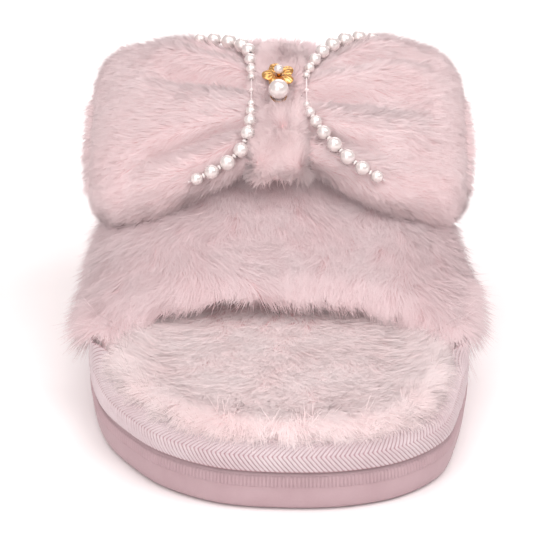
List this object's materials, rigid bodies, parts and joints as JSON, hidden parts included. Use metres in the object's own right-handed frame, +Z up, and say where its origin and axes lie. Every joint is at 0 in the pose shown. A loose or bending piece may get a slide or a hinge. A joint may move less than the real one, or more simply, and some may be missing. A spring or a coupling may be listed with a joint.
{
  "type": "house slipper",
  "caption": "Open-toe plush house slipper for a right foot, with a furry strap, a stuffed bow edged with pearl strings and a small gold flower brooch.",
  "frame": {"origin": "centre of the slipper's footprint, on the floor", "axes": "+Z up, the toe points to -Y and the heel to +Y, +X is the wearer's big-toe side"},
  "size_m": [0.107, 0.25, 0.0858],
  "materials": {
    "rubber_pink": "satin",
    "foam_white": "matte",
    "felt_grey": "matte",
    "board_grey": "matte",
    "fur_pink": "matte",
    "tape_pink": "matte",
    "lining_pink": "matte",
    "plush_pink": "matte",
    "thread_white": "matte",
    "fill_white": "matte",
    "gold_metal": "polished",
    "pearl_white": "gloss"
  },
  "bodies": {
    "slipper": {"outsole": "rubber_pink", "midsole": "foam_white", "bottom_filler": "felt_grey", "insole_board": "board_grey", "footbed_foam": "foam_white", "footbed_fur": "fur_pink", "edge_tape": "tape_pink", "strap_shell": "fur_pink", "strap_interlining": "foam_white", "strap_lining": "lining_pink", "bow_pad": "lining_pink", "bow_knot_band": "plush_pink", "bow_knot_core": "plush_pink", "bow_tack_rear": "thread_white", "bow_tack_front": "thread_white", "brooch_pearl": "pearl_white", "brooch_pearl_cup": "gold_metal"},
    "left_loop": {"left_loop_cover": "plush_pink", "left_loop_stuffing": "fill_white", "left_pearl_thread": "thread_white", "left_pearl_01": "pearl_white", "left_pearl_02": "pearl_white", "left_pearl_03": "pearl_white", "left_pearl_04": "pearl_white", "left_pearl_05": "pearl_white", "left_pearl_06": "pearl_white", "left_pearl_07": "pearl_white", "left_pearl_08": "pearl_white", "left_pearl_09": "pearl_white", "left_pearl_10": "pearl_white", "left_pearl_11": "pearl_white", "left_pearl_12": "pearl_white", "left_pearl_13": "pearl_white", "left_pearl_14": "pearl_white", "left_pearl_15": "pearl_white", "left_pearl_16": "pearl_white"},
    "right_loop": {"right_loop_cover": "plush_pink", "right_loop_stuffing": "fill_white", "right_pearl_thread": "thread_white", "right_pearl_01": "pearl_white", "right_pearl_02": "pearl_white", "right_pearl_03": "pearl_white", "right_pearl_04": "pearl_white", "right_pearl_05": "pearl_white", "right_pearl_06": "pearl_white", "right_pearl_07": "pearl_white", "right_pearl_08": "pearl_white", "right_pearl_09": "pearl_white", "right_pearl_10": "pearl_white", "right_pearl_11": "pearl_white", "right_pearl_12": "pearl_white", "right_pearl_13": "pearl_white", "right_pearl_14": "pearl_white", "right_pearl_15": "pearl_white", "right_pearl_16": "pearl_white"},
    "brooch": {"brooch_flower": "gold_metal", "brooch_post": "gold_metal", "brooch_clutch": "gold_metal", "brooch_bead": "pearl_white"}
  },
  "joints": [
    {"name": "left_loop_flap", "type": "hinge", "parent": "slipper", "child": "left_loop", "pos_m": [-0.0065, -0.022, 0.07838], "axis": [0, 0.9174, 0.3979], "range_deg": [0, 25]},
    {"name": "right_loop_flap", "type": "hinge", "parent": "slipper", "child": "right_loop", "pos_m": [0.0065, -0.022, 0.07838], "axis": [0, -0.9174, -0.3979], "range_deg": [0, 25]},
    {"name": "brooch_turn", "type": "hinge", "parent": "slipper", "child": "brooch", "pos_m": [0, -0.01795, 0.07959], "axis": [0, -0.3979, 0.9174], "continuous": true}
  ]
}
